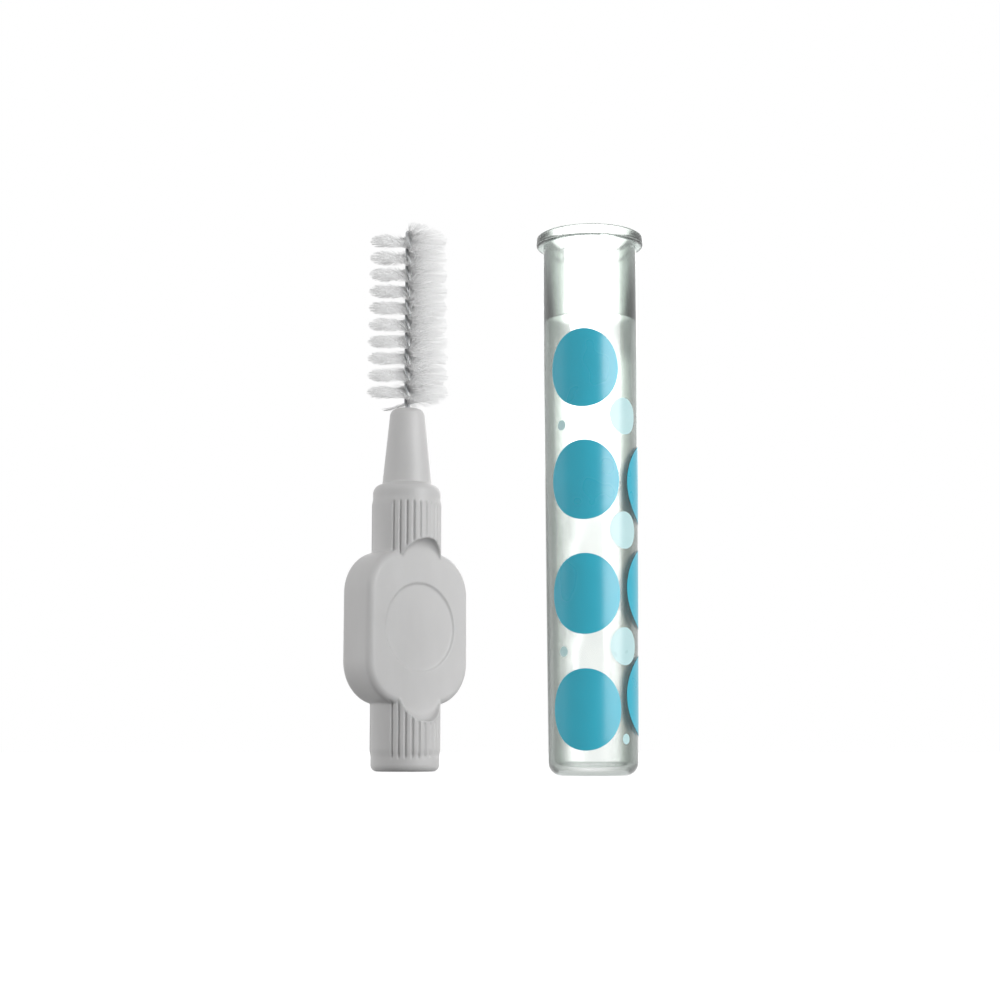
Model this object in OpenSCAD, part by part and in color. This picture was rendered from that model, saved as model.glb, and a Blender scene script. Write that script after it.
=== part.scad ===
// Interdental brush, standing on the rear end of its handle, with its protective tube beside it.
// The origin is the centre of the rear end face, +Z runs along the brush to its tip,
// and the paddle's flat faces look along -Y and +Y.

/* [Barrels of the handle] */
// Diameter over the ribs, which grip the tube
barrel_d = 7.1; // [6.9:0.05:7.4]
// Diameter of the plain bands beside the ribs
band_d = 6.78; // [6.6:0.02:6.8]
// Length of the rear barrel, up to the paddle
rear_len = 6.6; // [5.8:0.1:8]
// Length of the plain band at the rear end
rear_band_len = 1.55; // [1.2:0.05:2]
// Radius of the rear end's edge
rear_edge_r = 0.65; // [0.3:0.05:0.9]
// Length of the front barrel, from the paddle to the cone
front_len = 6.95; // [6:0.05:8]
// Length of the plain band at the front end
front_band_len = 1.5; // [1.2:0.05:2]
// Radius of the front shoulder
shoulder_r = 0.9; // [0.4:0.05:1]

/* [Ribs] */
// Grooves between the ribs on each side of each barrel
groove_count = 12; // [6:1:14]
// Angle from one groove to the next
groove_step = 11.2; // [9:0.1:12]
// Depth of a groove
groove_depth = 0.11; // [0.08:0.01:0.14]

/* [Paddle] */
// Width of the paddle
paddle_w = 13.1; // [11.5:0.1:15]
// Thickness of the paddle
paddle_t = 4.65; // [4:0.05:5.6]
// Height of the paddle, along the brush
paddle_h = 15.45; // [13:0.05:18]
// Radius of the paddle's corners
paddle_corner_r = 4.3; // [3:0.1:5]
// Radius of the edges round the paddle's faces
paddle_edge_r = 0.75; // [0.4:0.05:1.2]
// Diameter of the round recess in each face
recess_d = 9; // [7:0.1:10]
// Depth of the round recess
recess_depth = 0.2; // [0.1:0.05:0.4]
// Radius of the scoops where the barrels run out on the faces
scoop_r = 2.55; // [2:0.05:2.9]
// How far a barrel runs in over the paddle's face
barrel_overlap = 0.55; // [0.3:0.05:0.9]

/* [Cone] */
// Diameter of the cone at its foot
cone_foot_d = 5.05; // [4.6:0.05:5.4]
// Diameter of the cone below its rounded tip
cone_tip_d = 3.55; // [3.1:0.05:3.9]
// Length of the cone with its rounded tip
cone_len = 8.05; // [6.5:0.05:10]
// Radius of the tip's edge
cone_edge_r = 0.75; // [0.4:0.05:0.95]

/* [Wire] */
// Diameter of one leg of the wire
strand_d = 0.3; // [0.24:0.01:0.36]
// Space between the two legs, which holds the filaments
strand_gap = 0.08; // [0.06:0.01:0.12]
// Length of one full left-handed turn
twist_pitch = 3.56; // [3:0.02:4]
// Length of the wire inside the handle
root_len = 12; // [8:0.5:20]
// Space round the wire in the handle
root_clear = 0.01; // [0.01:0.01:0.03]

/* [Filaments] */
// Radius of the brush at its foot
brush_foot_r = 4.28; // [3.4:0.02:4.6]
// Radius of the brush at its tip
brush_tip_r = 4.07; // [3.2:0.02:4.5]
// Length of the wound part of the brush
brush_len = 18.2; // [14:0.05:22]
// Pairs of strands in each group
pairs_each = 30; // [24:1:36]

/* [Neck] */
// Space between the handle's tip and the point where the wire bends
neck_gap = 0.07; // [0.05:0.01:0.15]
// Half of the space between the wire's root and its stem
neck_half_gap = 0.1; // [0.08:0.01:0.15]
// Height of the first filaments over the bending point
first_rise = 0.3; // [0.25:0.05:0.8]

/* [Tube] */
// Outside height of the tube
tube_h = 46.2; // [42:0.1:55]
// Wall of the tube
tube_wall = 0.45; // [0.35:0.01:0.6]
// Play between the ribs and the tube's bore, on each side
tube_fit = 0.02; // [0.01:0.01:0.05]
// Length of the bore that grips the barrel
grip_len = 12; // [9:0.5:16]
// How much narrower the tube is at its bottom
tube_draft = 0.55; // [0.2:0.05:0.8]
// Thickness of the bottom
tube_floor = 0.6; // [0.4:0.05:1]
// Radius of the tube's lower edge
tube_edge_r = 1.1; // [0.6:0.05:1.4]
// How far the rim stands out
rim_out = 0.6; // [0.3:0.05:0.9]
// Height of the rim
rim_h = 0.9; // [0.6:0.05:1.4]
// Width of the vent groove in the mouth
vent_w = 3.65; // [2.5:0.05:4.2]
// Length of the vent groove
vent_len = 8.1; // [6:0.1:11]
// Depth of the vent groove
vent_depth = 0.2; // [0.1:0.01:0.28]
// Direction that the vent groove faces
vent_face = 218; // [0:1:359]
// Place of the tube beside the brush, along X
tube_x = -8; // [-25:1:25]
// Place of the tube beside the brush, along Y
tube_y = -34; // [-50:1:-14]

/* [Hidden] */

// Number of steps in a quarter of a drawn arc
arc_steps = 6;
// Overrun of every cut past the surface that it opens
overrun = 0.2;
// Rise of the cone's domed tip over its rounded edge, and the tip's flat as a part of the cone's radius there
dome_rise = 0.12;
dome_flat_share = 0.25;
// How far the centre of a scoop lies beyond the end of its barrel, as a part of its radius
scoop_centre_share = 0.2;
// Number of filament groups
group_count = 6;
// Rings of a leg in one turn, and sides of a leg
rings_per_turn = 8;
leg_sides = 6;
// Steps of the fold that joins the legs at the tip
fold_steps = 6;
// Part of each step of height that a strand takes, and its width at the tip as a part of the gap
strand_height_share = 0.68;
strand_tip_share = 0.9;
// Half width of the band of filaments between the legs, as a part of a leg's diameter
band_half_share = 0.95;
// A lobe of the spiral faces this way at this part of the brush's length
lobe_face = -42;
lobe_share = 0.952;
// Colours of the mouldings, the wire, the filaments and the tube
grey = [0.78, 0.78, 0.78];
steel = [0.62, 0.63, 0.65];
nylon = [0.96, 0.97, 0.97];
clear_plastic = [0.85, 0.95, 0.93, 0.4];

// Heights along the brush
paddle_z = rear_len;
paddle_top = paddle_z + paddle_h;
paddle_mid = paddle_z + paddle_h / 2;
shoulder_z = paddle_top + front_len;
cone_tip_z = shoulder_z + cone_len;
neck_z = cone_tip_z + neck_gap;
root_top = neck_z - neck_half_gap;
root_bottom = root_top - root_len;
stem_bottom = neck_z + neck_half_gap;
brush_z = neck_z + first_rise;
brush_top = brush_z + brush_len;
lobe_z = brush_z + lobe_share * brush_len;

// Radii and steps that follow from the sizes above
leg_r = strand_d / 2;
leg_offset = (strand_d + strand_gap) / 2;
pair_r = leg_offset + leg_r;
band_half = band_half_share * strand_d;
pair_step = brush_len / (group_count * pairs_each);
strand_h = strand_height_share * pair_step;
bore_r = barrel_d / 2 + tube_fit;
tube_r = bore_r + tube_wall;
foot_r = tube_r - tube_draft / 2;

// Points of an arc round (cx, cy) from angle a to angle b
function arc(cx, cy, r, a, b) =
    [for (i = [0:arc_steps]) let (t = a + (b - a) * i / arc_steps) [cx + r * cos(t), cy + r * sin(t)]];

// Directions of the filaments and of the first leg at a height: the twist is left-handed
function twist_at(z) = lobe_face - 360 * (z - lobe_z) / twist_pitch;
function out_at(z, side) = side * [cos(twist_at(z)), sin(twist_at(z)), 0];
function across_at(z, side) = side * [-sin(twist_at(z)), cos(twist_at(z)), 0];
function unit(v) = v / norm(v);

// A barrel with grooves that stand in two fans, one about each face
module ribbed_barrel(height) {
    linear_extrude(height = height)
        difference() {
            circle(d = barrel_d, $fn = 96);
            for (face = [-90, 90])
                for (i = [0:groove_count - 1])
                    rotate(face + (i - (groove_count - 1) / 2) * groove_step)
                        translate([barrel_d / 2, 0])
                            rotate(45)
                                square(groove_depth * sqrt(2), center = true);
        }
}

// One corner of the paddle: a disc with rounded edges, its axis along Y
module paddle_corner() {
    r = paddle_corner_r;
    e = paddle_edge_r;
    h = paddle_t / 2;
    rotate([90, 0, 0])
        rotate_extrude($fn = 32)
            polygon(concat([[0, -h]], arc(r - e, e - h, e, -90, 0), arc(r - e, h - e, e, 0, 90), [[0, h]]));
}

module paddle_block() {
    x = paddle_w / 2 - paddle_corner_r;
    z = paddle_h / 2 - paddle_corner_r;
    translate([0, 0, paddle_mid])
        hull()
            for (sx = [-1, 1])
                for (sz = [-1, 1])
                    translate([sx * x, 0, sz * z])
                        paddle_corner();
}

// The two barrels with their plain bands and rounded ends, and the cone with its domed tip
module turned_body() {
    rb = band_d / 2;
    rc = cone_tip_d / 2;
    e = cone_edge_r;
    lean = (cone_foot_d - cone_tip_d) / 2;
    rotate_extrude($fn = 96)
        polygon(concat([[0, 0]],
            arc(rb - rear_edge_r, rear_edge_r, rear_edge_r, -90, 0),
            arc(rb - shoulder_r, shoulder_z - shoulder_r, shoulder_r, 0, 90),
            [[cone_foot_d / 2, shoulder_z], [rc + lean * e / cone_len, cone_tip_z - dome_rise - e]],
            arc(rc - e, cone_tip_z - dome_rise - e, e, 0, 90),
            [[dome_flat_share * rc, cone_tip_z], [0, cone_tip_z]]));
}

// Round pocket that opens a barrel down to the paddle's face
module scoop(z) {
    for (side = [-1, 1])
        translate([0, side * paddle_t / 2, z])
            rotate([-90 * side, 0, 0])
                cylinder(r = scoop_r, h = barrel_d, $fn = 64);
}

module handle() {
    rear_rib_len = rear_len + barrel_overlap - rear_band_len;
    front_rib_len = front_len + barrel_overlap - front_band_len;
    color(grey)
        difference() {
            union() {
                difference() {
                    union() {
                        turned_body();
                        translate([0, 0, rear_band_len])
                            ribbed_barrel(rear_rib_len);
                        translate([0, 0, paddle_top - barrel_overlap])
                            ribbed_barrel(front_rib_len);
                    }
                    scoop(rear_len + barrel_overlap + scoop_centre_share * scoop_r);
                    scoop(paddle_top - barrel_overlap - scoop_centre_share * scoop_r);
                    barrel_gap();
                }
                paddle_block();
            }
            for (side = [-1, 1])
                translate([0, side * (paddle_t / 2 - recess_depth), paddle_mid])
                    rotate([-90 * side, 0, 0])
                        cylinder(d = recess_d, h = recess_depth + overrun, $fn = 96);
            translate([0, 0, root_bottom])
                cylinder(r = pair_r + root_clear, h = root_len + neck_half_gap + overrun, $fn = 32);
        }
}

// The barrels stop on the paddle's faces, and the solid paddle joins them
module barrel_gap() {
    for (side = [-1, 1])
        translate([-barrel_d, side * (paddle_t + barrel_d) / 2 - barrel_d / 2, rear_len + barrel_overlap])
            cube([2 * barrel_d, barrel_d, paddle_h - 2 * barrel_overlap]);
}

// A tube through rings of points, closed at both ends
module swept(rings) {
    n = len(rings);
    s = leg_sides;
    sides = [for (j = [0:n - 2]) for (a = [0:s - 1]) for (half = [0, 1])
        let (b = (a + 1) % s)
        half == 0 ? [j * s + a, (j + 1) * s + a, (j + 1) * s + b] : [j * s + a, (j + 1) * s + b, j * s + b]];
    caps = [for (a = [1:s - 2]) for (end = [0, 1])
        end == 0 ? [0, a, a + 1] : [(n - 1) * s, (n - 1) * s + a + 1, (n - 1) * s + a]];
    polyhedron(points = [for (r = rings) for (p = r) p], faces = concat(sides, caps));
}

function ring(centre, outward, along) =
    [for (a = [0:leg_sides - 1]) let (t = 360 * a / leg_sides)
        centre + leg_r * (cos(t) * outward + sin(t) * cross(along, outward))];

// Ring of a leg at a height: way is 1 where the leg is followed upwards and -1 downwards
function leg_ring(z, side, way) =
    let (outward = across_at(z, side), slope = -2 * PI * leg_offset / twist_pitch)
    ring(leg_offset * outward + [0, 0, z], outward, unit(way * ([0, 0, 1] + slope * cross([0, 0, 1], outward))));

function leg_heights(low, high) =
    let (n = ceil(rings_per_turn * (high - low) / twist_pitch))
    [for (i = [0:n]) low + (high - low) * i / n];

// The two legs that end inside the handle
module wire_root() {
    heights = leg_heights(root_bottom, root_top);
    color(steel)
        for (side = [-1, 1])
            swept([for (z = heights) leg_ring(z, side, 1)]);
}

// The folded wire: up one leg, over the fold at the tip and down the other leg
module twisted_wire() {
    heights = leg_heights(stem_bottom, brush_top);
    n = len(heights);
    up = [for (z = heights) leg_ring(z, 1, 1)];
    down = [for (i = [0:n - 1]) leg_ring(heights[n - 1 - i], -1, -1)];
    e = across_at(brush_top, 1);
    fold = [for (i = [1:fold_steps - 1])
        let (t = 180 * i / fold_steps, outward = cos(t) * e + sin(t) * [0, 0, 1])
        ring(leg_offset * outward + [0, 0, brush_top], outward, cos(t) * [0, 0, 1] - sin(t) * e)];
    color(steel)
        swept(concat(up, fold, down));
}

// Heights and lengths of the pairs of strands, counted from the foot of the whole brush
function pair_z(g) = brush_z + (g + 0.5) * pair_step;
function pair_r_at(g) = brush_foot_r + (brush_tip_r - brush_foot_r) * (pair_z(g) - brush_z) / brush_len;

// Corners of the band between the legs at a height, and of one strand's end
function band_ring(z) =
    [for (c = [[1, -1], [1, 1], [-1, 1], [-1, -1]])
        c[0] * band_half * out_at(z, 1) + c[1] * strand_gap / 2 * across_at(z, 1) + [0, 0, z]];
function strand_end(g, side) =
    let (z = pair_z(g), w = strand_tip_share * strand_gap / 2, h = strand_tip_share * strand_h / 2)
    [for (c = [[-1, -1], [-1, 1], [1, 1], [1, -1]])
        pair_r_at(g) * out_at(z, side) + c[0] * w * across_at(z, side) + [0, 0, z + c[1] * h]];

// One slice of the spiral: the band, and a strand drawn out of each side of it at every step
module bristle_turn(k) {
    n = pairs_each;
    heights = [for (i = [0:n - 1]) for (s = [-1, 1]) pair_z(k * n + i) + s * strand_h / 2];
    bands = [for (z = heights) for (p = band_ring(z)) p];
    ends = [for (i = [0:n - 1]) for (side = [1, -1]) for (p = strand_end(k * n + i, side)) p];
    walls = [for (j = [0:2 * n - 2]) for (a = [0:3])
        if (a % 2 == 1 || j % 2 == 1)
            for (half = [0, 1])
                let (b = (a + 1) % 4, lo = 4 * j, hi = 4 * (j + 1))
                half == 0 ? [lo + a, hi + a, hi + b] : [lo + a, hi + b, lo + b]];
    strands = [for (i = [0:n - 1]) for (side = [0, 1])
        let (lo = 8 * i, a = 2 * side, t = 8 * n + 8 * i + 4 * side)
        for (f = strand_faces([lo + a, lo + 4 + a, lo + 5 + a, lo + 1 + a], [t, t + 1, t + 2, t + 3])) f];
    top = 4 * (2 * n - 1);
    caps = [[0, 1, 2], [0, 2, 3], [top, top + 2, top + 1], [top, top + 3, top + 2]];
    color(nylon)
        polyhedron(points = concat(bands, ends), faces = concat(walls, strands, caps));
}

function strand_faces(foot, end) = concat(
    [for (q = [0:3]) for (half = [0, 1])
        let (p = (q + 1) % 4)
        half == 0 ? [foot[q], foot[p], end[p]] : [foot[q], end[p], end[q]]],
    [[end[0], end[1], end[2]], [end[0], end[2], end[3]]]);

module bristle_turn_1() { bristle_turn(0); }
module bristle_turn_2() { bristle_turn(1); }
module bristle_turn_3() { bristle_turn(2); }
module bristle_turn_4() { bristle_turn(3); }
module bristle_turn_5() { bristle_turn(4); }
module bristle_turn_6() { bristle_turn(5); }

// The tube is straight where it grips the barrel and narrows to its bottom
module protective_tube() {
    e = tube_edge_r;
    inner_e = tube_edge_r - tube_wall;
    inner_foot = foot_r - tube_wall;
    rim_z = tube_h - rim_h;
    rim_e = rim_h / 4;
    color(clear_plastic)
        translate([tube_x, tube_y, 0])
            difference() {
                rotate_extrude($fn = 96)
                    polygon(concat([[0, 0]],
                        arc(foot_r - e, e, e, -90, 0),
                        [[tube_r, tube_h - grip_len], [tube_r, rim_z]],
                        arc(tube_r + rim_out - rim_e, rim_z + rim_e, rim_e, -90, 0),
                        arc(tube_r + rim_out - rim_e, tube_h - rim_e, rim_e, 0, 90),
                        [[bore_r, tube_h], [bore_r, tube_h - grip_len]],
                        arc(inner_foot - inner_e, tube_floor + inner_e, inner_e, 0, -90),
                        [[0, tube_floor]]));
                vent_groove();
            }
}

// Shallow channel inside the mouth, round at its lower end, that lets air past the barrel
module vent_groove() {
    middle = tube_h - vent_len + vent_w / 2;
    rotate(vent_face) {
        intersection() {
            translate([0, 0, middle])
                cylinder(r = bore_r + vent_depth, h = vent_len, $fn = 96);
            translate([0, -vent_w / 2, middle])
                cube([tube_r, vent_w, vent_len]);
        }
        intersection() {
            translate([0, 0, tube_h - vent_len - overrun])
                cylinder(r = bore_r + vent_depth, h = vent_w + overrun, $fn = 96);
            translate([0, 0, middle])
                rotate([0, 90, 0])
                    cylinder(d = vent_w, h = tube_r, $fn = 48);
        }
    }
}

handle();
wire_root();
twisted_wire();
bristle_turn_1();
bristle_turn_2();
bristle_turn_3();
bristle_turn_4();
bristle_turn_5();
bristle_turn_6();
protective_tube();
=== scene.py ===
import math
import random

import bmesh
import bpy
from mathutils import Matrix, Vector


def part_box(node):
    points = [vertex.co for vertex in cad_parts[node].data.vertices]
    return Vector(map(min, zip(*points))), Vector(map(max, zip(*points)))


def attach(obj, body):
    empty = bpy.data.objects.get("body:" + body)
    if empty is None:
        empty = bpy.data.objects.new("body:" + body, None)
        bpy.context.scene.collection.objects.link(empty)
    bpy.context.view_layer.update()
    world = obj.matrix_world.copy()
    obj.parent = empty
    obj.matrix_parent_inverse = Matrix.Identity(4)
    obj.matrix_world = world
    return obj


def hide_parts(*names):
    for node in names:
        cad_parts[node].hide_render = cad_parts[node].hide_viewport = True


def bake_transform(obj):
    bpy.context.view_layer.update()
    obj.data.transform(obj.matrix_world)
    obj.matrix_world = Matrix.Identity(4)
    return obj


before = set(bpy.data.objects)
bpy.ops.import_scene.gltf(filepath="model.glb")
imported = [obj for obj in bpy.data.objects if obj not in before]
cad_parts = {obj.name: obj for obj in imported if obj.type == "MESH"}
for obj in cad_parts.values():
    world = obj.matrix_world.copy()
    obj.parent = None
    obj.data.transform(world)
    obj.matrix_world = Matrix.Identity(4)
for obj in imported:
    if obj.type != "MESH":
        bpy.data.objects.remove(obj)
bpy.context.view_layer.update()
mm = 0.001

# Camera: it stands close to the brush and barely over the surface, and looks up a little. The foot of the
# handle is seen level, and the filaments and the tube's mouth from below. The image is taken to be 1000 by
# 1000 pixels.
camera_distance = 180 * mm
camera_height = 2 * mm
camera_turn = math.radians(-43)
camera_pitch = math.radians(8.06)
camera_beside = 9.55 * mm
focal_px = 1775
image_px = 1000
forward = Vector((-math.sin(camera_turn), math.cos(camera_turn), 0))
rightward = Vector((math.cos(camera_turn), math.sin(camera_turn), 0))
view_line = forward * math.cos(camera_pitch) + Vector((0, 0, math.sin(camera_pitch)))
camera = bpy.data.objects.new("camera", bpy.data.cameras.new("camera"))
camera.data.sensor_fit = "HORIZONTAL"
camera.data.lens = camera.data.sensor_width * focal_px / image_px
camera.data.clip_start, camera.data.clip_end = 1 * mm, 10
camera.location = rightward * camera_beside - forward * camera_distance + Vector((0, 0, camera_height))
camera.rotation_euler = view_line.to_track_quat("-Z", "Y").to_euler()
bpy.context.scene.collection.objects.link(camera)
bpy.context.scene.camera = camera

# Studio: a pale paper floor and a world that are white where the camera, gloss or clear plastic looks at
# them, a large soft lamp on the right, a second one far to the left and a weak one behind and above.
scene = bpy.context.scene
scene.view_settings.view_transform = "Standard"


def new_material(name):
    """A material with its node tree, and its shader."""
    material = bpy.data.materials.new(name)
    material.use_nodes = True
    return material, material.node_tree.nodes["Principled BSDF"]


def any_ray(tree, *kinds):
    """A value that is 1 for rays of the named kinds and 0 for all others."""
    path = tree.nodes.new("ShaderNodeLightPath")
    value = path.outputs[kinds[0]]
    for kind in kinds[1:]:
        either = tree.nodes.new("ShaderNodeMath")
        either.operation = "MAXIMUM"
        tree.links.new(value, either.inputs[0])
        tree.links.new(path.outputs[kind], either.inputs[1])
        value = either.outputs[0]
    return value


def blank(name, bm):
    """A plain object from a bmesh, with no material."""
    mesh = bpy.data.meshes.new(name)
    bm.to_mesh(mesh)
    bm.free()
    made = bpy.data.objects.new(name, mesh)
    scene.collection.objects.link(made)
    return made


def mapped(material, value, before, after):
    """A value carried from one range to another, each given as its two ends."""
    node = material.node_tree.nodes.new("ShaderNodeMapRange")
    for socket, end in zip(("From Min", "From Max", "To Min", "To Max"), (*before, *after)):
        node.inputs[socket].default_value = end
    material.node_tree.links.new(value, node.inputs["Value"])
    return node.outputs[0]


seen_directly = ("Is Camera Ray", "Is Glossy Ray", "Is Transmission Ray")
world = bpy.data.worlds.new("studio")
world.use_nodes = True
scene.world = world
sky = world.node_tree
light_sky = sky.nodes["Background"]
light_sky.inputs["Color"].default_value = (1, 1, 1, 1)
light_sky.inputs["Strength"].default_value = 0.39
white_sky = sky.nodes.new("ShaderNodeBackground")
white_sky.inputs["Color"].default_value = (1, 1, 1, 1)
white_sky.inputs["Strength"].default_value = 1.0
sky_mix = sky.nodes.new("ShaderNodeMixShader")
sky.links.new(any_ray(sky, *seen_directly), sky_mix.inputs[0])
sky.links.new(light_sky.outputs[0], sky_mix.inputs[1])
sky.links.new(white_sky.outputs[0], sky_mix.inputs[2])
sky.links.new(sky_mix.outputs[0], sky.nodes["World Output"].inputs["Surface"])

floor_size = 4.0
floor_bm = bmesh.new()
bmesh.ops.create_grid(floor_bm, x_segments=1, y_segments=1, size=floor_size / 2)
floor = blank("floor", floor_bm)
paper, shader = new_material("floor_paper")
tree = paper.node_tree
shader.inputs["Base Color"].default_value = (0.24, 0.24, 0.24, 1)
shader.inputs["Roughness"].default_value = 0.9
shader.inputs["Specular IOR Level"].default_value = 0.1

# Near the brush the paper stays a little under white, so that the shadow shows on it
near_white, near_reach, far_reach = 0.84, 60 * mm, 350 * mm
place = tree.nodes.new("ShaderNodeTexCoord")
away = tree.nodes.new("ShaderNodeVectorMath")
away.operation = "LENGTH"
tree.links.new(place.outputs["Object"], away.inputs[0])
tree.links.new(mapped(paper, away.outputs["Value"], (near_reach, far_reach), (near_white, 1.0)),
               shader.inputs["Emission Color"])
tree.links.new(any_ray(tree, *seen_directly), shader.inputs["Emission Strength"])
floor.data.materials.append(paper)

lamp_distance, lamp_aim = 0.5, Vector((0, 0, 30 * mm))


def soft_lamp(name, turn, height, size, power, mirrored=True):
    """A square lamp that looks at the brush, turned by degrees to the right of the camera's side."""
    lamp = bpy.data.lights.new(name, "AREA")
    lamp.size = size
    lamp.energy = power
    made = bpy.data.objects.new(name, lamp)
    side = rightward * math.sin(math.radians(turn)) - forward * math.cos(math.radians(turn))
    made.location = side * lamp_distance + Vector((0, 0, height))
    made.rotation_euler = (lamp_aim - made.location).to_track_quat("-Z", "Y").to_euler()
    made.visible_glossy = mirrored
    scene.collection.objects.link(made)


soft_lamp("key_lamp", turn=49, height=0.07, size=0.42, power=3.3)
soft_lamp("fill_lamp", turn=-86, height=0.04, size=0.36, power=2.0, mirrored=False)
soft_lamp("back_lamp", turn=170, height=0.30, size=0.40, power=0.8)


# Handle: one grey polypropylene moulding. Its two barrels are ribbed to grip the tube, the flat paddle is
# held between finger and thumb, and the cone carries the wire.
def finished(name, bm, material, body, replaced=()):
    """An object from a bmesh, smooth, with its material, that rides on its body."""
    made = blank(name, bm)
    made.data.materials.append(material)
    for face in made.data.polygons:
        face.use_smooth = True
    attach(made, body)
    if replaced:
        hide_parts(*replaced)
    return made


def with_modifiers(bm, *settings):
    """The bmesh as it comes out of modifiers, each given as its type and its settings."""
    body = blank("blank", bm)
    helpers = []
    for kind, values in settings:
        modifier = body.modifiers.new(kind.lower(), kind)
        for key, value in values.items():
            setattr(modifier, key, value)
        if "object" in values:
            helpers.append(values["object"])
    bpy.context.view_layer.update()
    out = bmesh.new()
    out.from_object(body, bpy.context.evaluated_depsgraph_get())
    for used in [body] + helpers:
        bpy.data.objects.remove(used)
    return out


def boolean(operation, bm):
    """Type and settings of a modifier that cuts with the solid in a bmesh, or joins it."""
    return "BOOLEAN", {"operation": operation, "object": blank("tool", bm), "solver": "EXACT"}


def put_in(bm, part):
    """Adds what is in one bmesh to another."""
    mesh = bpy.data.meshes.new("part")
    part.to_mesh(mesh)
    part.free()
    bm.from_mesh(mesh)
    bpy.data.meshes.remove(mesh)


merge_gap = 1e-7


def lathed(points, steps):
    """A closed body turned about Z from (radius, height) points that start and end on the axis."""
    bm = bmesh.new()
    verts = [bm.verts.new((r, 0, z)) for r, z in points]
    edges = [bm.edges.new(pair) for pair in zip(verts, verts[1:])]
    bmesh.ops.spin(bm, geom=verts + edges, cent=(0, 0, 0), axis=(0, 0, 1), angle=2 * math.pi,
                   steps=steps, use_merge=True, use_duplicate=False)
    bmesh.ops.remove_doubles(bm, verts=bm.verts, dist=merge_gap)
    bmesh.ops.recalc_face_normals(bm, faces=bm.faces)
    return bm


def arc(cx, cy, radius, start, end, steps=8):
    """Points of an arc round (cx, cy), with its angles in degrees."""
    turns = [math.radians(start + (end - start) * i / steps) for i in range(steps + 1)]
    return [(cx + radius * math.cos(t), cy + radius * math.sin(t)) for t in turns]


handle_low, handle_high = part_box("handle")
barrel_r = handle_high.y
band_r = barrel_r - 0.1 * mm
paddle_w = handle_high.x - handle_low.x
paddle_t = 4.65 * mm
paddle_low, paddle_high = 6.6 * mm, 22.05 * mm
paddle_mid = (paddle_low + paddle_high) / 2
corner_r, paddle_edge_r = 4.3 * mm, 0.75 * mm
overlap, end_slope = 0.55 * mm, 0.6 * mm
rear_edge_r, shoulder_r = 0.65 * mm, 0.9 * mm
shoulder_z = 29.0 * mm
rear_ribs = (1.55 * mm, paddle_low + overlap)
front_ribs = (paddle_high - overlap, shoulder_z - 1.5 * mm)
rib_end = 0.6 * mm
core_r = 2.0 * mm
cone_foot_r, cone_tip_r, cone_edge_r = 2.525 * mm, 1.8 * mm, 0.75 * mm
cone_top = handle_high.z
dome_rise, dome_flat_r, dome_turn = 0.12 * mm, cone_tip_r / 4, 80
turned = lathed(
    [(0, 0)] + arc(band_r - rear_edge_r, rear_edge_r, rear_edge_r, -90, 0)
    + [(band_r, rear_ribs[0]), (barrel_r, rear_ribs[0] + rib_end), (barrel_r, rear_ribs[1]),
       (core_r, rear_ribs[1] + end_slope), (core_r, front_ribs[0] - end_slope), (barrel_r, front_ribs[0]),
       (barrel_r, front_ribs[1] - rib_end), (band_r, front_ribs[1])]
    + arc(band_r - shoulder_r, shoulder_z - shoulder_r, shoulder_r, 0, 90)
    + [(cone_foot_r, shoulder_z)]
    + arc(cone_tip_r - cone_edge_r, cone_top - dome_rise - cone_edge_r, cone_edge_r, 0, dome_turn)
    + [(dome_flat_r, cone_top), (0, cone_top)], steps=128)

# The scoops where the barrels meet the paddle are bowls whose floor is level with the paddle's face. Their
# walls are round towards the barrels and steep at the sides.
scoop_r, bowl_edge_r, bowl_height = 2.72 * mm, 1.0 * mm, 3 * mm
side_run = 0.15
rear_scoop_in, front_scoop_in = 0.2 * scoop_r, 0.35 * scoop_r
scoop_heights = (rear_ribs[1] + rear_scoop_in, front_ribs[0] - front_scoop_in)
scoops = bmesh.new()
for side in (-1, 1):
    for z in scoop_heights:
        bowl = lathed([(0, 0)] + arc(scoop_r - bowl_edge_r, bowl_edge_r, bowl_edge_r, -90, 0)
                      + [(scoop_r, bowl_height), (0, bowl_height)], steps=64)
        for vert in bowl.verts:
            r = math.hypot(vert.co.x, vert.co.y)
            if r > scoop_r - bowl_edge_r:
                steep = side_run + (1 - side_run) * (vert.co.y / r) ** 2
                vert.co.xy *= (scoop_r - (scoop_r - r) * steep) / r
        bmesh.ops.rotate(bowl, cent=(0, 0, 0), matrix=Matrix.Rotation(-side * math.pi / 2, 3, "X"),
                         verts=bowl.verts)
        bmesh.ops.translate(bowl, vec=(0, side * paddle_t / 2, z), verts=bowl.verts)
        put_in(scoops, bowl)
turned = with_modifiers(turned, boolean("DIFFERENCE", scoops))

paddle = bmesh.new()
bmesh.ops.create_cube(paddle, size=1)
bmesh.ops.scale(paddle, vec=(paddle_w, paddle_t, paddle_high - paddle_low), verts=paddle.verts)
corners = [e for e in paddle.edges if abs(e.verts[0].co.y - e.verts[1].co.y) > paddle_t / 2]
bmesh.ops.bevel(paddle, geom=corners, offset=corner_r, offset_type="OFFSET", segments=20, profile=0.5,
                affect="EDGES", material=-1)
rims = [e for e in paddle.edges if abs(e.verts[0].co.y - e.verts[1].co.y) < paddle_t / 2]
bmesh.ops.bevel(paddle, geom=rims, offset=paddle_edge_r, offset_type="OFFSET", segments=6, profile=0.5,
                affect="EDGES", material=-1)
bmesh.ops.translate(paddle, vec=(0, 0, paddle_mid), verts=paddle.verts)

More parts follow.
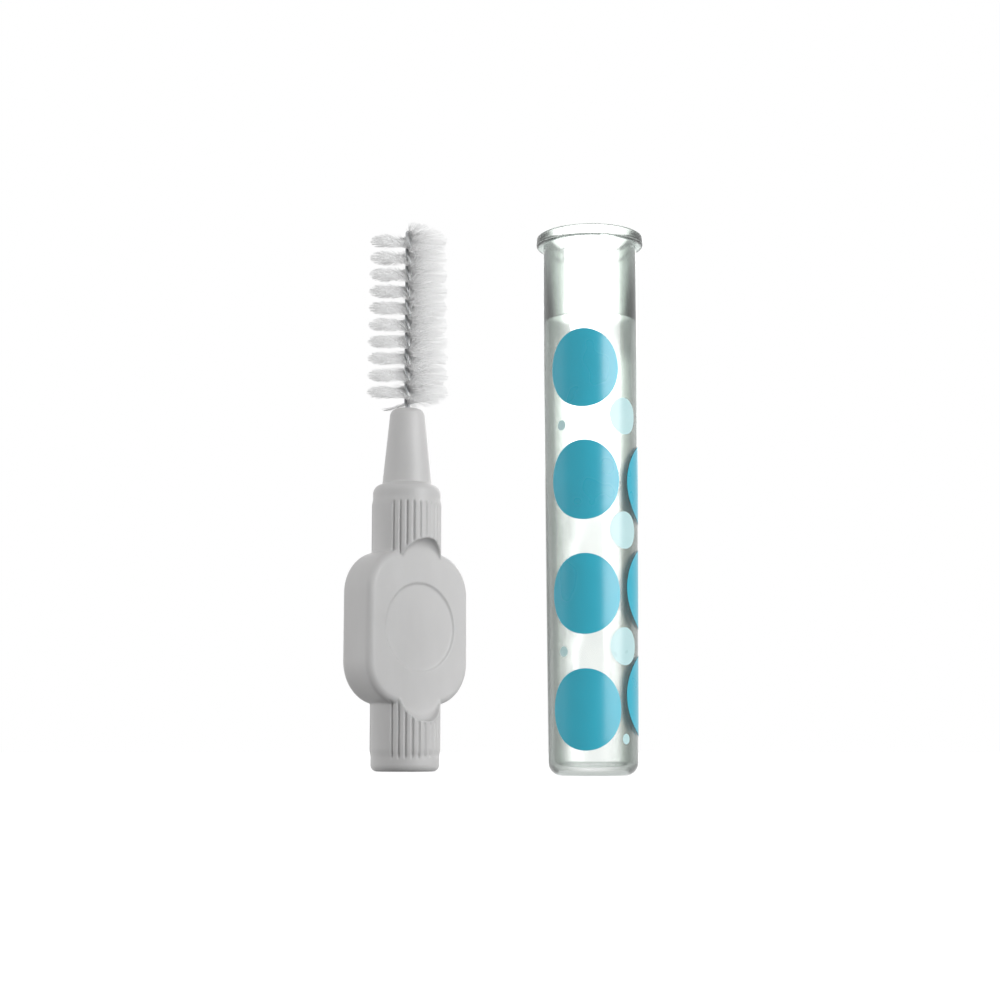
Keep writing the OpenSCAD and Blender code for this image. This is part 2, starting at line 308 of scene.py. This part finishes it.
# Each face has a shallow round recess
recess_r, recess_depth, recess_reach = 4.5 * mm, 0.2 * mm, 1 * mm
recesses = bmesh.new()
for side in (-1, 1):
    place = (Matrix.Translation((0, side * (paddle_t / 2 + recess_reach / 2 - recess_depth), paddle_mid))
             @ Matrix.Rotation(math.pi / 2, 4, "X"))
    bmesh.ops.create_cone(recesses, cap_ends=True, segments=96, radius1=recess_r, radius2=recess_r,
                          depth=recess_reach, matrix=place)
paddle = with_modifiers(paddle, boolean("DIFFERENCE", recesses))

# Barrels and paddle become one even skin, its edges softened as in a mould
skin_step = 0.115 * mm
moulded = with_modifiers(turned, boolean("UNION", paddle),
                         ("REMESH", {"mode": "VOXEL", "voxel_size": skin_step}),
                         ("SMOOTH", {"factor": 0.5, "iterations": 3}))

# The ribs are what is left between grooves in the barrels, a fan of them on each face. The grooves run out at
# both ends and at the lips of the scoops.
rib_count, rib_step, rib_depth, rib_fade = 12, math.radians(11.2), 0.22 * mm, 0.35 * mm
rib_low, rib_high, skin_depth = 1.25 * mm, shoulder_z - 1.9 * mm, 0.2 * mm
scoop_lip, lip_fade = 0.12 * mm, 0.2 * mm
for vert in moulded.verts:
    x, y, z = vert.co
    r = math.hypot(x, y)
    low, high = (rib_low, rear_ribs[1]) if z < paddle_mid else (front_ribs[0], rib_high)
    at = math.atan2(x, abs(y)) / rib_step + rib_count / 2
    if r < barrel_r - skin_depth or not low < z < high or not 0 < at < rib_count:
        continue
    groove = max(0.0, math.cos(2 * math.pi * (at - 0.5))) ** 2
    off_lip = min(math.hypot(x, z - middle) for middle in scoop_heights) - scoop_r - scoop_lip
    share = max(0, min(1, (z - low) / rib_fade, (high - z) / rib_fade, off_lip / lip_fade))
    depth = rib_depth * groove * share
    vert.co.x -= x / r * depth
    vert.co.y -= y / r * depth


def grain(material, size, stretch=(1, 1, 1), detail=4):
    """Noise on the piece's own coordinates, its grains of the given size."""
    tree = material.node_tree
    place = tree.nodes.new("ShaderNodeTexCoord")
    mapping = tree.nodes.new("ShaderNodeMapping")
    mapping.inputs["Scale"].default_value = stretch
    noise = tree.nodes.new("ShaderNodeTexNoise")
    noise.inputs["Scale"].default_value = 1 / size
    noise.inputs["Detail"].default_value = detail
    tree.links.new(place.outputs["Object"], mapping.inputs["Vector"])
    tree.links.new(mapping.outputs[0], noise.inputs["Vector"])
    return noise.outputs[0]


def coloured(material, value, *stops):
    """A value turned into colours: each stop is its position and its colour."""
    ramp = material.node_tree.nodes.new("ShaderNodeValToRGB")
    material.node_tree.links.new(value, ramp.inputs[0])
    while len(ramp.color_ramp.elements) < len(stops):
        ramp.color_ramp.elements.new(0.5)
    for element, (position, colour) in zip(ramp.color_ramp.elements, stops):
        element.position = position
        element.color = (*colour, 1)
    return ramp.outputs[0]


def ranged(material, noise, low, high):
    """Noise, which lies between 0.2 and 0.8, spread from low to high."""
    return mapped(material, noise, (0.2, 0.8), (low, high))


def raised(material, shader, value, depth):
    """A bump of the given depth on the shader."""
    bump = material.node_tree.nodes.new("ShaderNodeBump")
    bump.inputs["Distance"].default_value = depth
    material.node_tree.links.new(value, bump.inputs["Height"])
    material.node_tree.links.new(bump.outputs[0], shader.inputs["Normal"])


handle_plastic, shader = new_material("handle_plastic")
flow = grain(handle_plastic, 4 * mm, stretch=(1, 1, 0.4), detail=6)
fine = grain(handle_plastic, 0.12 * mm)
grey, pale_grey = (0.535, 0.53, 0.528), (0.58, 0.575, 0.573)
links = handle_plastic.node_tree.links
links.new(coloured(handle_plastic, flow, (0.3, grey), (0.7, pale_grey)), shader.inputs["Base Color"])
links.new(ranged(handle_plastic, fine, 0.38, 0.5), shader.inputs["Roughness"])
raised(handle_plastic, shader, fine, 0.006 * mm)
finished("handle_moulding", moulded, handle_plastic, "grip", ["handle"])

# Wire: one steel wire folded at the tip of the brush and twisted left-handed. Its two cut legs are moulded
# into the cone, and the filaments are caught between the legs.
twist_pitch = 3.56 * mm
brush_low, brush_high = 37.42 * mm, 55.62 * mm
lobe_share, lobe_face = 0.952, math.radians(-42)
lobe_z = brush_low + lobe_share * (brush_high - brush_low)
leg_r, leg_offset = 0.15 * mm, 0.19 * mm
root_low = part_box("wire_root")[0].z


def twist_at(z):
    """Direction of the filaments at a height: it is the lobe's face at the lobe's height."""
    return lobe_face - 2 * math.pi * (z - lobe_z) / twist_pitch


def leg_path(side, rings_per_turn=24):
    """Points along one leg, from its cut end up to the fold."""
    steps = math.ceil(rings_per_turn * (brush_high - root_low) / twist_pitch)
    heights = [root_low + (brush_high - root_low) * i / steps for i in range(steps + 1)]
    return [Vector((-side * leg_offset * math.sin(twist_at(z)), side * leg_offset * math.cos(twist_at(z)), z))
            for z in heights]


def ring_edges(bm, ring):
    """The edges round a ring of vertices, made where they are missing."""
    return [bm.edges.get(pair) or bm.edges.new(pair) for pair in zip(ring, ring[1:] + ring[:1])]


def wire_along(bm, points, radius, sides=12):
    """A round wire with closed ends, bridged ring by ring along the points."""
    before = (points[1] - points[0]).orthogonal()
    rings = []
    for i, point in enumerate(points):
        along = (points[min(i + 1, len(points) - 1)] - points[max(i - 1, 0)]).normalized()
        before = (before - along * before.dot(along)).normalized()
        other = along.cross(before)
        rings.append([bm.verts.new(point + radius * (math.cos(a) * before + math.sin(a) * other))
                      for a in (2 * math.pi * k / sides for k in range(sides))])
    for low, high in zip(rings, rings[1:]):
        bmesh.ops.bridge_loops(bm, edges=ring_edges(bm, low) + ring_edges(bm, high))
    bm.faces.new(rings[0])
    bm.faces.new(rings[-1])
    bmesh.ops.recalc_face_normals(bm, faces=bm.faces)


wire_bm = bmesh.new()
fold_steps = 12
fold_out = Vector((-math.sin(twist_at(brush_high)), math.cos(twist_at(brush_high)), 0))
fold = [Vector((0, 0, brush_high)) + leg_offset * (math.cos(t) * fold_out + math.sin(t) * Vector((0, 0, 1)))
        for t in (math.pi * i / fold_steps for i in range(1, fold_steps))]
wire_along(wire_bm, leg_path(1) + fold + leg_path(-1)[::-1], leg_r)

wire_steel, shader = new_material("wire_steel")
drawn = grain(wire_steel, 0.05 * mm, stretch=(1, 1, 0.12))
steel, bright_steel = (0.30, 0.31, 0.32), (0.46, 0.47, 0.48)
links = wire_steel.node_tree.links
links.new(coloured(wire_steel, drawn, (0.3, steel), (0.7, bright_steel)), shader.inputs["Base Color"])
links.new(ranged(wire_steel, drawn, 0.25, 0.42), shader.inputs["Roughness"])
raised(wire_steel, shader, drawn, 0.004 * mm)
shader.inputs["Metallic"].default_value = 1.0
wire = blank("folded_wire", wire_bm)
wire.data.materials.append(wire_steel)
for face in wire.data.polygons:
    face.use_smooth = True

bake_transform(wire)
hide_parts("twisted_wire", "wire_root")

# Filaments: white nylon threads laid across the wire before it was twisted, so that they stand out on both
# sides in a double spiral. They are trimmed to a slight taper. Each one strays a little, and the most slanted
# ones are the shortest, so the edge of the spiral is rounded.
def let_light_in(material, shader, share):
    """Lets this share of the light through to what lies behind, as a milky plastic does."""
    tree = material.node_tree
    through = tree.nodes.new("ShaderNodeMath")
    through.operation = "MULTIPLY_ADD"
    tree.links.new(any_ray(tree, "Is Shadow Ray", "Is Diffuse Ray"), through.inputs[0])
    through.inputs[1].default_value = -share
    through.inputs[2].default_value = 1.0
    tree.links.new(through.outputs[0], shader.inputs["Alpha"])


nylon, shader = new_material("nylon_filament")
cloud = grain(nylon, 0.6 * mm)
satin = grain(nylon, 0.08 * mm)
dull_white, white = (0.97, 0.975, 0.975), (0.995, 0.995, 0.995)
links = nylon.node_tree.links
links.new(coloured(nylon, cloud, (0.3, dull_white), (0.7, white)), shader.inputs["Base Color"])
links.new(ranged(nylon, satin, 0.3, 0.5), shader.inputs["Roughness"])
shader.inputs["IOR"].default_value = 1.53
shader.inputs["Sheen Weight"].default_value = 1.0
shader.inputs["Sheen Roughness"].default_value = 0.5
shader.inputs["Specular IOR Level"].default_value = 0.8
let_light_in(nylon, shader, 0.995)
foot_r, tip_r = 4.28 * mm, 4.07 * mm
thread_r, thread_end_r, thread_start = 0.021 * mm, 0.013 * mm, 0.1 * mm
group_count, threads_each = 6, 500
stray_up, stray_round, most_lean, lean_cut, trim = 0.15, math.radians(3), 2, 0.45, 0.965
calm_foot, calm_tip, calm_rise = 0.2, 0.5, 1.6 * mm
draw = random.Random(7)
for group in range(group_count):
    tuft = bmesh.new()
    for i in range(threads_each):
        share = (group + (i + draw.random()) / threads_each) / group_count
        z = brush_low + share * (brush_high - brush_low)
        reach = foot_r + (tip_r - foot_r) * share
        for side in (0, math.pi):
            turn = twist_at(z) + side + draw.gauss(0, stray_round)
            lean = max(-most_lean, min(most_lean, draw.gauss(0, 1)))
            calm = min(1, calm_foot + (z - brush_low) / calm_rise, calm_tip + (brush_high - z) / calm_rise)
            out = Vector((math.cos(turn), math.sin(turn), lean * stray_up * calm)).normalized()
            cut = 1 - lean_cut * (lean / most_lean) ** 2
            length = reach * draw.uniform(trim, 1.0) * cut - thread_start
            place = (Matrix.Translation(Vector((0, 0, z)) + out * (thread_start + length / 2))
                     @ out.to_track_quat("Z", "Y").to_matrix().to_4x4())
            bmesh.ops.create_cone(tuft, cap_ends=True, segments=3, radius1=thread_r, radius2=thread_end_r,
                                  depth=length, matrix=place)
    finished(f"filaments_{group + 1}", tuft, nylon, "brush_head",
             [f"bristle_turn_{group + 1}"])

# Protective tube: a translucent polypropylene moulding with a rim round its mouth, a vent groove inside it
# and a fine ring where the bore's fit ends. Its wall narrows to the closed bottom.
tube_low, tube_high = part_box("protective_tube")
tube_centre = Vector(((tube_low.x + tube_high.x) / 2, (tube_low.y + tube_high.y) / 2, 0))
tube_h = tube_high.z
bore_r, wall, draft = 3.57 * mm, 0.45 * mm, 0.275 * mm
mouth_r = bore_r + wall
bottom_r = mouth_r - draft
foot_edge_r, bottom_t = 1.1 * mm, 0.6 * mm
rim_r = (tube_high.x - tube_low.x) / 2
rim_z, rim_edge = tube_h - 0.9 * mm, 0.225 * mm
grip_z = tube_h - 12 * mm
ring_z, ring_depth, ring_h = tube_h - 7.6 * mm, 0.04 * mm, 0.16 * mm
inside_r, inside_edge_r = bottom_r - wall, foot_edge_r - wall
shell = lathed(
    [(0, 0)] + arc(bottom_r - foot_edge_r, foot_edge_r, foot_edge_r, -90, 0)
    + [(mouth_r, grip_z), (mouth_r, rim_z)]
    + arc(rim_r - rim_edge, rim_z + rim_edge, rim_edge, -90, 0, steps=4)
    + arc(rim_r - rim_edge, tube_h - rim_edge, rim_edge, 0, 90, steps=4)
    + [(bore_r, tube_h), (bore_r, ring_z + ring_h), (bore_r + ring_depth, ring_z + ring_h / 2),
       (bore_r, ring_z), (bore_r, grip_z)]
    + arc(inside_r - inside_edge_r, bottom_t + inside_edge_r, inside_edge_r, 0, -90) + [(0, bottom_t)],
    steps=180)

# The vent groove is straight above and round at its foot: the upper half of a round cutter is drawn up
# through the mouth, and only what lies just outside the bore is cut
vent_face = math.radians(218)
vent_w, vent_low, vent_depth, vent_corner = 3.65 * mm, tube_h - 8.1 * mm, 0.2 * mm, 0.6
vent_middle = vent_low + vent_w / 2
vent = bmesh.new()
bmesh.ops.create_cone(
    vent, cap_ends=True, segments=64, radius1=vent_w / 2, radius2=vent_w / 2, depth=mouth_r,
    matrix=Matrix.Translation((mouth_r / 2, 0, vent_middle)) @ Matrix.Rotation(math.pi / 2, 4, "Y"))
for vert in vent.verts:
    if vert.co.z > vent_middle + merge_gap:
        if abs(vert.co.y) >= vent_corner * vent_w / 2:
            vert.co.y *= vent_w / 2 / abs(vert.co.y)
        vert.co.z = tube_h + wall
bmesh.ops.rotate(vent, cent=(0, 0, 0), matrix=Matrix.Rotation(vent_face, 3, "Z"), verts=vent.verts)
core_low, core_high = vent_low - wall, tube_h + 2 * wall
core = lathed([(0, core_low), (bore_r + vent_depth, core_low), (bore_r + vent_depth, core_high),
               (0, core_high)], steps=180)
core = with_modifiers(core, boolean("INTERSECT", vent))
shell = with_modifiers(shell, boolean("DIFFERENCE", core))
bmesh.ops.translate(shell, vec=tube_centre, verts=shell.verts)

# The clear plastic is coloured darker and greener where its wall is seen at a slant: the pale green is the
# tint of the longer path through the plastic, and the deep darkening is painted shade standing in for the
# tube's dark edges
clear_plastic, shader = new_material("clear_tube")
tree = clear_plastic.node_tree
slant = tree.nodes.new("ShaderNodeLayerWeight")
waves = ranged(clear_plastic, grain(clear_plastic, 7 * mm, stretch=(1, 1, 0.5), detail=2), -0.05, 0.05)
uneven = tree.nodes.new("ShaderNodeMath")
uneven.operation = "ADD"
tree.links.new(slant.outputs["Facing"], uneven.inputs[0])
tree.links.new(waves, uneven.inputs[1])
# Painted shade: these stops darken the wall towards its slanted edges, over the plastic's own pale green tint
wall_tint_and_slant_shade = ((0.06, (0.93, 0.95, 0.935)), (0.15, (0.76, 0.79, 0.77)),
              (0.30, (0.34, 0.38, 0.35)), (0.7, (0.18, 0.215, 0.20)))
tree.links.new(coloured(clear_plastic, uneven.outputs[0], *wall_tint_and_slant_shade), shader.inputs["Base Color"])
shader.inputs["Roughness"].default_value = 0.16
shader.inputs["IOR"].default_value = 1.49
shader.inputs["Transmission Weight"].default_value = 1.0
raised(clear_plastic, shader, grain(clear_plastic, 3 * mm, stretch=(1, 1, 0.3), detail=1), 0.01 * mm)
let_light_in(clear_plastic, shader, 0.85)
tube = finished("clear_tube", shell, clear_plastic, "cap", ["protective_tube"])
tube.data.set_sharp_from_angle(angle=math.radians(30))

# Printed dots: thin glossy ink on the outside of the tube, in columns of large teal dots with pale ones
# between them, a little taller than wide.
ink_rise, ink_tall = 0.02 * mm, 1.08


def wall_radius(z):
    """Outer radius of the tube at a height."""
    return bottom_r + (mouth_r - bottom_r) * min(1, max(0, z / grip_z))


def printed(name, material, dots):
    """Dots wrapped round the wall: each has its direction in degrees, its height and its width in mm."""
    bm = bmesh.new()
    for turn, height, width in dots:
        dot = bmesh.new()
        bmesh.ops.create_circle(dot, cap_ends=True, cap_tris=True, segments=64, radius=width * mm / 2)
        spokes = [e for e in dot.edges if not e.is_boundary]
        bmesh.ops.subdivide_edges(dot, edges=spokes, cuts=8)
        for vert in dot.verts:
            z = height * mm + ink_tall * vert.co.y
            r = wall_radius(z) + ink_rise
            around = vent_face + math.radians(turn) + vert.co.x / r
            vert.co = tube_centre + Vector((r * math.cos(around), r * math.sin(around), z))
        put_in(bm, dot)
    bmesh.ops.recalc_face_normals(bm, faces=bm.faces)
    finished(name, bm, material, "cap")


def ink(name, dark, light):
    """A glossy ink, a little uneven as screen print is."""
    material, shader = new_material(name)
    coat = grain(material, 3 * mm, detail=1)
    links = material.node_tree.links
    links.new(coloured(material, coat, (0.15, dark), (0.85, light)), shader.inputs["Base Color"])
    links.new(ranged(material, coat, 0.26, 0.31), shader.inputs["Roughness"])
    shader.inputs["Specular IOR Level"].default_value = 0.7
    return material


def column(turn, lowest, step, width, count):
    """A column of dots of one width, one above the other."""
    return [(turn, lowest + step * row, width) for row in range(count)]


printed("teal_dots", ink("teal_ink", (0.001, 0.365, 0.50), (0.004, 0.405, 0.55)),
        column(-3, 5.4, 9.5, 6.2, 4) + column(100, 6.6, 8.9, 6.2, 3) + column(182, 5.6, 9.9, 4.6, 4))
printed("pale_dots", ink("pale_ink", (0.42, 0.64, 0.66), (0.50, 0.71, 0.72)),
        column(50, 10.6, 9.65, 2.9, 3) + [(-32, 29.1, 0.8), (-32, 10.15, 0.8), (52, 3.0, 0.8)])
